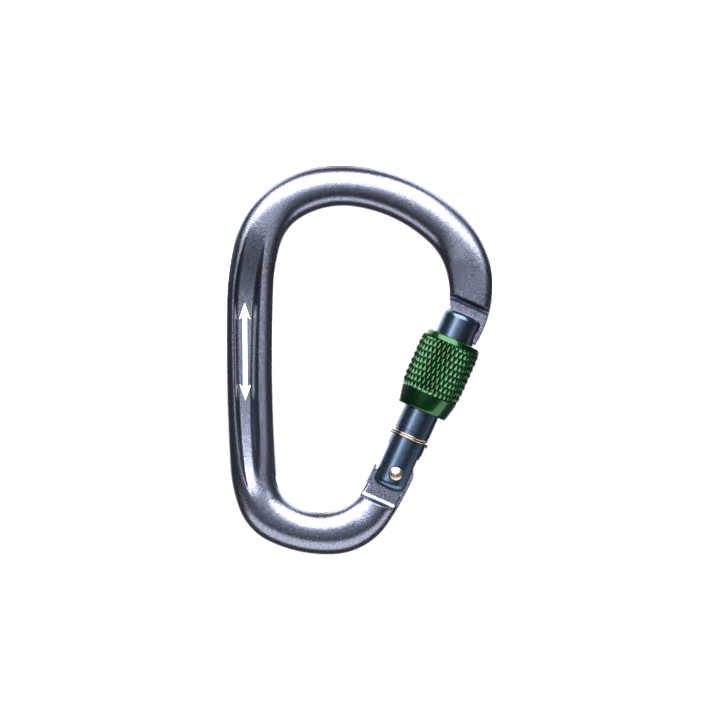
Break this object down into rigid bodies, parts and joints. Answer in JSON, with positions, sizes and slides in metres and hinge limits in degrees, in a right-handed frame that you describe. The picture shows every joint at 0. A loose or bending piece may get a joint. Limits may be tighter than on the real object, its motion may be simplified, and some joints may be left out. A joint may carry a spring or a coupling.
{
  "type": "locking carabiner",
  "caption": "Pear-shaped locking carabiner with a keylock nose, a sprung gate that opens inward and a knurled screw sleeve that rises over the nose.",
  "frame": {"origin": "middle of the bounding box in X and Y, at the height of the frame's lowest point, below the small end", "axes": "+Z from the small end up to the wide end, +X from the spine to the gate, +Y through the thickness, with the mid-plane at Y = 0"},
  "size_m": [0.0686, 0.0158, 0.1001],
  "materials": {
    "blasted_aluminium": "sand-blasted and anodised slate blue",
    "satin_aluminium": "turned, brightened and anodised slate blue",
    "green_aluminium": "diamond-knurled and anodised green",
    "stainless_steel": "polished",
    "spring_wire": "drawn wire"
  },
  "bodies": {
    "frame": {"body": "blasted_aluminium"},
    "gate": {"gate": "satin_aluminium", "gate_rivet": "stainless_steel", "gate_spring": "spring_wire", "sleeve_stop_ring": "spring_wire"},
    "sleeve": {"screw_sleeve": "green_aluminium"},
    "plunger": {"spring_plunger": "stainless_steel"}
  },
  "joints": [
    {"name": "gate_hinge", "type": "hinge", "parent": "frame", "child": "gate", "pos_m": [0.00926, 0, 0.02078], "axis": [0, -1, 0], "range_deg": [0, 38], "stiffness_Nm_per_rad": 0.15, "springref_deg": -57.3},
    {"name": "sleeve_travel", "type": "slide", "parent": "gate", "child": "sleeve", "axis": [0.4067, 0, 0.9135], "range_m": [-0.0067, 0.0042]},
    {"name": "plunger_slide", "type": "slide", "parent": "gate", "child": "plunger", "axis": [0.4067, 0, 0.9135], "range_m": [0, 0.0017], "deforming": ["gate_spring"]}
  ],
  "couplings": [
    {"joint": "plunger_slide", "follows": "gate_hinge", "m_per_rad": 0.00246}
  ]
}
